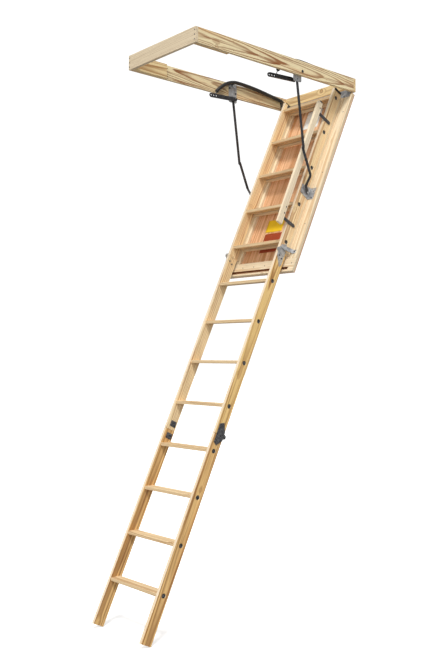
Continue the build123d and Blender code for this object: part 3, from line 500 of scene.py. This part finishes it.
# Darker wood for the slot in the bottom rail: painted shade, with some dirt, in the recess.
SLOT_SHADE_AND_DIRT_PINE = wood(
    "slot_shade_and_dirt_pine",
    srgb(150, 100, 60),
    srgb(84, 48, 24),
    srgb(110, 68, 38),
    contrast=0.8,
    knots=0.0,
)
LAUAN = plywood("lauan")
BLACK = painted_steel("black_paint", srgb(52, 52, 55), srgb(88, 88, 91), 0.22)
GREY_PAINT = painted_steel("grey_paint", srgb(74, 74, 78), srgb(104, 104, 106), 0.30)
ZINC = plated_steel("zinc", srgb(206, 208, 210), srgb(140, 142, 146), 0.34, 0.60)
PLATE_ZINC = plated_steel("plate_zinc", srgb(206, 208, 210), srgb(158, 160, 163), 0.38, 0.60)
DARK_ZINC = plated_steel("dark_zinc", srgb(84, 84, 88), srgb(48, 48, 52), 0.28, 0.5)
NUT_STEEL = plated_steel("nut_steel", srgb(40, 38, 38), srgb(22, 21, 22), 0.3, 0.5)
SLEEVE = sleeve("spring_sleeve")
YELLOW_PAPER = paper("yellow_paper", srgb(244, 202, 18), srgb(228, 184, 12))
RED_PAPER = paper("red_paper", srgb(158, 62, 22), srgb(140, 52, 16))
WHITE_PAPER = paper("white_paper", srgb(250, 252, 250), srgb(236, 238, 232))


# ---------------------------------------------------------------- mesh helpers

def finish_piece(bm, name, material, body, replaced=(), smooth=BOARD_SMOOTH):
    """An object from a bmesh, shaded smooth up to an angle, riding on a body."""
    mesh = bpy.data.meshes.new(name)
    bm.to_mesh(mesh)
    bm.free()
    for face in mesh.polygons:
        face.use_smooth = True
    mesh.set_sharp_from_angle(angle=smooth)
    piece = bpy.data.objects.new(name, mesh)
    bpy.context.scene.collection.objects.link(piece)
    mesh.materials.clear()
    mesh.materials.append(material)
    if body:
        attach(piece, body)
    if replaced:
        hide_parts(*replaced)
    return piece


def cad_copy(node):
    """A bmesh of a CAD node with its flat faces joined up again."""
    bm = bmesh.new()
    bm.from_mesh(NODES[node].data)
    bmesh.ops.remove_doubles(bm, verts=bm.verts, dist=WELD)
    bmesh.ops.dissolve_limit(bm, angle_limit=FLAT, verts=bm.verts, edges=bm.edges)
    return bm


def islands(bm):
    """The separate solids of a bmesh, as lists of vertices, in the order of their first vertices."""
    seen = set()
    found = []
    for first in bm.verts:
        if first in seen:
            continue
        seen.add(first)
        part = [first]
        for vertex in part:
            for edge in vertex.link_edges:
                other = edge.other_vert(vertex)
                if other not in seen:
                    seen.add(other)
                    part.append(other)
        found.append(part)
    return found


def ease(piece, width, segments=2):
    """Rounded edges on a piece, with their width in mm."""
    bevel = piece.modifiers.new("eased_edges", "BEVEL")
    bevel.width = width * MM
    bevel.segments = segments
    bevel.limit_method = "ANGLE"
    bevel.angle_limit = EASE_FROM
    bevel.use_clamp_overlap = True
    bevel.harden_normals = False
    return piece


def loft(bm, rings):
    """Faces from each ring of vertices to the next, and a cap at both ends."""
    for low, high in zip(rings, rings[1:]):
        for k in range(len(low)):
            after = (k + 1) % len(low)
            bm.faces.new((low[k], low[after], high[after], high[k]))
    bm.faces.new(list(reversed(rings[0])))
    bm.faces.new(rings[-1])


# Where a board was in its log: its offset across and its distance from the pith in mm, and both tilts in
# mm per m. A board with no entry here is given a place of its own at random.
LOGS = {
    "right_jamb": (6.0, 52.0, 22.0, 30.0),
    "left_jamb": (-12.0, 44.0, 30.0, -24.0),
    "right_lower_stringer": (4.0, 60.0, 6.0, 8.0),
    "right_middle_stringer": (-8.0, 48.0, 10.0, 20.0),
    "header_board": (52.0, 26.0, -14.0, 8.0),
    "hinge_end_board": (-18.0, 60.0, 10.0, 14.0),
}


def lay_in_log(bm, name, along, across):
    """Writes the grain attribute of each solid, as if each were sawn from its own log."""
    layer = bm.verts.layers.float_vector.new("grain")
    tone = bm.verts.layers.float.new("tone")
    through = along.cross(across)
    for count, part in enumerate(islands(bm)):
        rng = random.Random(f"{name} {count}")
        guess = (rng.uniform(-45, 45), rng.uniform(28, 75), rng.uniform(-16, 16), rng.uniform(-14, 14))
        offset, depth, tilt, dip = LOGS.get(name, guess)
        start = rng.uniform(0.0, 40.0)
        own = rng.random()
        spans = [[v.co.dot(axis) for v in part] for axis in (along, across, through)]
        middle = [(min(s) + max(s)) / 2 for s in spans]
        for v in part:
            a = v.co.dot(along) - middle[0]
            b = v.co.dot(across) - middle[1]
            c = v.co.dot(through) - middle[2]
            layer_y = b + (offset + tilt * a) * MM
            layer_z = c + (depth + dip * a) * MM
            v[layer] = (a + start, layer_y, layer_z)
            v[tone] = own


def board(node, along, across, material, width=BOARD_EASE):
    """A CAD board with eased edges and the grain of its own log."""
    bm = cad_copy(node)
    lay_in_log(bm, node, along, across)
    return ease(finish_piece(bm, node + "_wood", material, BODY_OF[node], (node,)), width)


def metal(node, material, width=METAL_EASE, segments=2):
    """A CAD metal part with small rounded edges."""
    piece = finish_piece(cad_copy(node), node + "_metal", material, BODY_OF[node], (node,))
    return ease(piece, width, segments)


# ---------------------------------------------------------------- wood

def stringer(side, section, material):
    """A stringer, with paler wood on the edge that faces the climber: a painted highlight for the brighter light
    on that edge.
    """
    piece = board(f"{side}_{section}_stringer", DOWN, OUT, material, STRINGER_EASE)
    piece.data.materials.append(LIT_EDGE_PINE)
    for face in piece.data.polygons:
        face.material_index = int(face.normal.dot(OUT) > FACING)


def bottom_rail():
    """The door's bottom rail, with darker wood in its slot: painted shade, with some dirt, in the recess."""
    piece = board("door_bottom_rail", X, DOWN, PALE_PINE)
    piece.data.materials.append(SLOT_SHADE_AND_DIRT_PINE)
    for face in piece.data.polygons:
        place = (face.center - HINGE) / MM
        face.material_index = int(SLOT_START < place.dot(DOWN) < SLOT_END and abs(place.x) < SLOT_REACH)


def panel():
    """The plywood sheet, with its depth through the plies in the grain attribute."""
    bm = cad_copy("door_panel")
    layer = bm.verts.layers.float_vector.new("grain")
    back = HINGE.dot(OUT) + (PANEL_FACE - PANEL_THICK) * MM
    for v in bm.verts:
        v[layer] = (v.co.dot(DOWN), v.co.x, v.co.dot(OUT) - back)
    piece = finish_piece(bm, "door_panel_plywood", LAUAN, "door", ("door_panel",))
    ease(piece, PANEL_EASE)


board("header_board", X, Z, HEADER_PINE)
board("hinge_end_board", X, Z, PINE)
board("left_jamb", Y, Z, JAMB_PINE)
board("right_jamb", Y, Z, JAMB_PINE)
board("corner_blocks", Y, Z, PINE)
for side, middle_look in (("left", STRINGER_PINE), ("right", GOLD_PINE)):
    stringer(side, "upper", STRINGER_PINE)
    stringer(side, "middle", middle_look)
    stringer(side, "lower", LOWER_PINE)
    board(f"{side}_door_rail", DOWN, X, RAIL_PINE)
for number in range(1, 14):
    board(f"tread_{number}", X, Y, TREAD_PINE, TREAD_EASE)
bottom_rail()
board("door_battens", X, DOWN, PALE_PINE)
board("stringer_pads", DOWN, X, PALE_PINE)
board("handrail", DOWN, OUT, HANDRAIL_PINE, HANDRAIL_EASE)
panel()

# ---------------------------------------------------------------- steel

for side in ("left", "right"):
    metal(f"{side}_crank", BLACK, CRANK_EASE)
metal("jamb_plates", PLATE_ZINC)
metal("spring_anchors", GREY_PAINT)
metal("top_straps", BLACK)
metal("handrail_brackets", GREY_PAINT)
metal("arm_brackets", ZINC)
metal("hinge_straps", ZINC)
metal("upper_hinge_leaves", PLATE_ZINC, LEAF_EASE)
metal("middle_top_leaves", PLATE_ZINC, LEAF_EASE)
metal("middle_bottom_leaves", DARK_ZINC, LEAF_EASE)
metal("lower_leaves", DARK_ZINC, LEAF_EASE)
metal("middle_backing_plates", DARK_ZINC, BOLT_EASE)
metal("lower_backing_plates", DARK_ZINC, BOLT_EASE)
metal("frame_hinge_leaf", ZINC, BOLT_EASE, 1)
metal("door_hinge_leaf", ZINC, BOLT_EASE, 1)
metal("hinge_pin", DARK_ZINC, SCREW_EASE, 1)
metal("jamb_bolts", NUT_STEEL, LEAF_EASE)
metal("frame_screws", DARK_ZINC, SCREW_EASE, 1)
metal("door_screws", NUT_STEEL, SCREW_EASE, 1)
metal("middle_hinge_bolts", DARK_ZINC, BOLT_EASE)
metal("lower_hinge_bolts", DARK_ZINC, BOLT_EASE)
for section in ("upper", "middle", "lower"):
    metal(f"{section}_tread_rods", NUT_STEEL, BOLT_EASE)


# ---------------------------------------------------------------- springs

def corner_arc(before, corner, after, radius, step):
    """Points a step apart along an arc that rounds the corner between two straight runs."""
    into = (corner - before).normalized()
    away = (after - corner).normalized()
    turn = into.angle(away)
    start = corner - into * (radius * math.tan(turn / 2))
    normal = (away - into * into.dot(away)).normalized()
    centre = start + normal * radius
    count = max(3, int(radius * turn / step))
    angles = [turn * n / count for n in range(count + 1)]
    return [centre - normal * (radius * math.cos(a)) + into * (radius * math.sin(a)) for a in angles]


def rounded(points, radii, step):
    """Points along a polyline whose inner corners are rounded with arcs, a step apart. All but the points
    are in mm."""
    out = [points[0]]
    for before, corner, after, radius in zip(points, points[1:], points[2:], radii):
        out += corner_arc(before, corner, after, radius * MM, step * MM)
    out.append(points[-1])
    even = []
    for a, b in zip(out, out[1:]):
        count = max(1, int((b - a).length / (step * MM)))
        even += [a.lerp(b, n / count) for n in range(count)]
    return even + [out[-1]]


def smooth_path(points, step):
    """Points a step apart along a smooth curve through the given ones."""
    ends = [points[0] * 2 - points[1]] + points + [points[-1] * 2 - points[-2]]
    path = []
    for a, b, c, d in zip(ends, ends[1:], ends[2:], ends[3:]):
        count = max(2, int((c - b).length / step))
        for n in range(count):
            t = n / count
            bend = (b * 3 - a - c * 3 + d) * t ** 3 + (a * 2 - b * 5 + c * 4 - d) * t ** 2
            path.append((bend + (c - a) * t + b * 2) / 2)
    return path + [points[-1]]


def heading(path, n):
    """The direction of a path at one of its points."""
    return (path[min(n + 1, len(path) - 1)] - path[max(n - 1, 0)]).normalized()


def tube(path, radius_at, sides):
    """A round tube along a path that lies in a plane across X."""
    bm = bmesh.new()
    rings = []
    travelled = 0.0
    for n, point in enumerate(path):
        up = X.cross(heading(path, n)).normalized()
        if n:
            travelled += (point - path[n - 1]).length
        ring = []
        for k in range(sides):
            a = 2 * math.pi * k / sides
            reach = (up * math.cos(a) + X * math.sin(a)) * radius_at(travelled, a)
            ring.append(bm.verts.new(point + reach))
        rings.append(ring)
    loft(bm, rings)
    return bm


def wire(name, path, body):
    """A round steel wire along a path in the plane of its spring."""
    bm = tube(path, lambda s, a: WIRE_RADIUS * MM, WIRE_SIDES)
    finish_piece(bm, name, DARK_ZINC, body, (), ROUND_SMOOTH)


def in_plane(x, place):
    """A point from its x in m and its (y, z) in mm."""
    return Vector((x, place[0] * MM, place[1] * MM))


def spring_sleeve(side, route):
    """The vinyl sleeve of a spring, ribbed by the coils inside it and drawn in at both ends."""
    path = smooth_path(route, SPRING_STEP * MM)
    length = sum((b - a).length for a, b in zip(path, path[1:]))

    def radius_at(s, a):
        rib = SPRING_RIB * math.sin(2 * math.pi * s / (SPRING_PITCH * MM) - a)
        end = min(s, length - s)
        closing = 1.0 - SLEEVE_CLOSING * max(0.0, 1 - end / (SLEEVE_END * MM)) ** 2
        return (SPRING_RADIUS + rib) * MM * closing

    bm = tube(path, radius_at, SPRING_SIDES)
    name = f"{side}_spring_sleeve"
    piece = finish_piece(bm, name, SLEEVE, None, (f"{side}_spring",), ROUND_SMOOTH)
    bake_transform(piece)


def spring(side):
    """A counterbalance spring in its sleeve, with a bare eye at the anchor and a hook on the lever."""
    low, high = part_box(f"{side}_spring")
    x = (low.x + high.x) / 2
    route = [in_plane(x, place) for place in SPRING_ROUTE]
    spring_sleeve(side, route)

    tip = route[-1]
    eye = in_plane(x, HOOK_EYE)
    neck = tip.lerp(eye, HOOK_NECK)
    hook = [tip.lerp(route[-2], HOOK_START), neck, eye, eye + in_plane(0, HOOK_TAIL)]
    wire(f"{side}_spring_hook", rounded(hook, HOOK_BENDS, WIRE_STEP), f"{side}_crank")
    pin = in_plane(x, ANCHOR_PIN)
    loop = [route[0].lerp(route[1], EYE_START)] + [pin + in_plane(0, place) for place in EYE_LOOP]
    wire(f"{side}_spring_eye", rounded(loop, EYE_BENDS, WIRE_STEP), "frame")


spring("left")
spring("right")


# ---------------------------------------------------------------- links

def link_ring(bm, point, tangent, width):
    """One cross-section of a link: a flat bar with eased corners. width is its share of the full width."""
    across = tangent.cross(X).normalized()
    through = across.cross(tangent)
    reach = LINK_WIDTH / 2 * MM * width
    thick = LINK_THICK / 2 * MM
    soft = min(LINK_CORNER * MM, reach * 0.6)
    outline = ((reach, thick - soft), (reach - soft, thick), (soft - reach, thick), (-reach, thick - soft))
    outline += ((-reach, soft - thick), (soft - reach, -thick), (reach - soft, -thick), (reach, soft - thick))
    return [bm.verts.new(point + across * u + through * v) for u, v in outline]


def link(side):
    """A flat bar with round ends, bent in and back from the crank's arm to the bracket's pin."""
    sign = 1 if side == "right" else -1
    route = [on_ladder(sign * x, r, h) for x, r, h in LINK_CORNERS]
    path = rounded(route, LINK_BENDS, LINK_STEP)
    half = LINK_WIDTH / 2 * MM
    into = heading(path, 0)
    away = heading(path, len(path) - 1)
    reaches = [math.sin(math.radians(a)) for a in LINK_END_ANGLES]
    start = [path[0] - into * half * reach for reach in reaches]
    end = [path[-1] + away * half * reach for reach in reversed(reaches)]
    tips = [math.sqrt(max(LINK_TIP_SQUARE, 1 - reach * reach)) for reach in reaches]
    widths = tips + [1.0] * len(path) + tips[::-1]
    path = start + path + end
    bm = bmesh.new()
    loft(bm, [link_ring(bm, point, heading(path, n), widths[n]) for n, point in enumerate(path)])
    bmesh.ops.recalc_face_normals(bm, faces=bm.faces)
    finish_piece(bm, f"{side}_link_bar", BLACK, f"{side}_link", (f"{side}_link",), LINK_SMOOTH)


link("left")
link("right")


# ---------------------------------------------------------------- blank stickers on the door panel

def sticker(name, material, centre, size):
    """A thin blank label with slightly lifted edges. Its centre is (x, distance along DOWN), in mm."""
    bm = bmesh.new()
    width, height = size
    grid = {}
    for i in range(STICKER_STEPS + 1):
        for j in range(STICKER_STEPS + 1):
            u = i / STICKER_STEPS - 0.5
            v = j / STICKER_STEPS - 0.5
            lift = STICKER_LIFT + STICKER_CURL * (max(abs(u), abs(v)) * 2) ** 8
            place = on_ladder(centre[0] + width * u, centre[1] + height * v, PANEL_FACE + lift)
            grid[i, j] = bm.verts.new(place)
    for i in range(STICKER_STEPS):
        for j in range(STICKER_STEPS):
            bm.faces.new((grid[i, j], grid[i, j + 1], grid[i + 1, j + 1], grid[i + 1, j]))
    bmesh.ops.recalc_face_normals(bm, faces=bm.faces)
    piece = finish_piece(bm, name, material, "door", (), ROUND_SMOOTH)
    thick = piece.modifiers.new("paper", "SOLIDIFY")
    thick.thickness = PAPER_THICK * MM
    thick.offset = 0.0


sticker("yellow_sticker", YELLOW_PAPER, (-5.0, 966.0), (148.0, 92.0))
sticker("red_sticker", RED_PAPER, (4.5, 1095.0), (151.0, 142.0))
sticker("white_sticker", WHITE_PAPER, (-5.5, 125.0), (131.0, 150.0))


# ---------------------------------------------------------------- stage

CAMERA_AT = (3.88906, -3.62023, -1.72591)
CAMERA_YAW = math.radians(-48.84)
CAMERA_PITCH = math.radians(2.438)
CAMERA_ROLL = 0.00306
LENS = 46.64
SENSOR = 36.0
LENS_SHIFT = -0.0152
CLIP_END = 200.0
FLOOR_RADIUS = 60.0
SUN_COLOUR = (1.0, 0.98, 0.95)
WHITE = (1.0, 1.0, 1.0, 1.0)
SKY_LIGHT = 0.36
SKY_SEEN = 1.1
FLOOR_GREY = (0.34, 0.34, 0.34, 1.0)
FLOOR_GLOW = 0.5


def look_from(position, yaw, pitch, roll):
    """Places the camera by its heading from +Y, its tilt above the horizon and its roll."""
    lens = bpy.data.cameras.new("camera")
    lens.sensor_width = SENSOR
    lens.lens = LENS
    lens.shift_y = LENS_SHIFT
    lens.clip_end = CLIP_END
    camera = bpy.data.objects.new("camera", lens)
    bpy.context.scene.collection.objects.link(camera)
    forward = Vector((math.sin(yaw) * math.cos(pitch), math.cos(yaw) * math.cos(pitch), math.sin(pitch)))
    right = forward.cross(Z).normalized()
    up = right.cross(forward)
    turned = right * math.cos(roll) + up * math.sin(roll)
    upright = turned.cross(forward)
    basis = Matrix((turned, upright, -forward)).transposed()
    camera.matrix_world = Matrix.Translation(position) @ basis.to_4x4()
    bpy.context.scene.camera = camera


def sun(name, towards, level, spread):
    """A distant soft light. level is what a white surface facing it shows."""
    data = bpy.data.lights.new(name, "SUN")
    data.energy = level * math.pi
    data.angle = math.radians(spread)
    data.color = SUN_COLOUR
    light = bpy.data.objects.new(name, data)
    light.rotation_mode = "QUATERNION"
    light.rotation_quaternion = Vector(towards).to_track_quat("Z", "Y")
    bpy.context.scene.collection.objects.link(light)


def backdrop():
    """An even white studio, seen brighter than it lights the ladder."""
    world = bpy.data.worlds.new("studio")
    world.use_nodes = True
    bpy.context.scene.world = world
    nodes = world.node_tree.nodes
    links = world.node_tree.links
    seen = nodes.new("ShaderNodeLightPath").outputs["Is Camera Ray"]
    level = nodes.new("ShaderNodeMapRange")
    links.new(seen, level.inputs["Value"])
    level.inputs["To Min"].default_value = SKY_LIGHT
    level.inputs["To Max"].default_value = SKY_SEEN
    links.new(level.outputs[0], nodes["Background"].inputs["Strength"])
    nodes["Background"].inputs["Color"].default_value = WHITE


def floor():
    """A wide pale round floor under the feet."""
    bm = bmesh.new()
    bmesh.ops.create_circle(bm, cap_ends=True, segments=96, radius=FLOOR_RADIUS)
    mesh = bpy.data.meshes.new("floor")
    bm.to_mesh(mesh)
    bm.free()
    made = bpy.data.objects.new("floor", mesh)
    made.location = (0, 0, cad_box[0].z - 0.001)
    bpy.context.scene.collection.objects.link(made)
    g = Graph("floor")
    seen = g.node("LightPath").outputs["Is Camera Ray"]
    g.set(Base_Color=g.mix(seen, FLOOR_GREY, WHITE), Roughness=0.9, Specular_IOR_Level=0.0)
    g.set(Emission_Color=WHITE, Emission_Strength=g.math("MULTIPLY", seen, FLOOR_GLOW))
    mesh.materials.append(g.material)


look_from(Vector(CAMERA_AT), CAMERA_YAW, CAMERA_PITCH, CAMERA_ROLL)
sun("key", (0.40, -0.36, 0.84), 0.80, 16.0)
sun("fill", (0.45, -0.85, 0.15), 0.34, 50.0)
backdrop()
floor()
bpy.context.scene.view_settings.view_transform = "Standard"
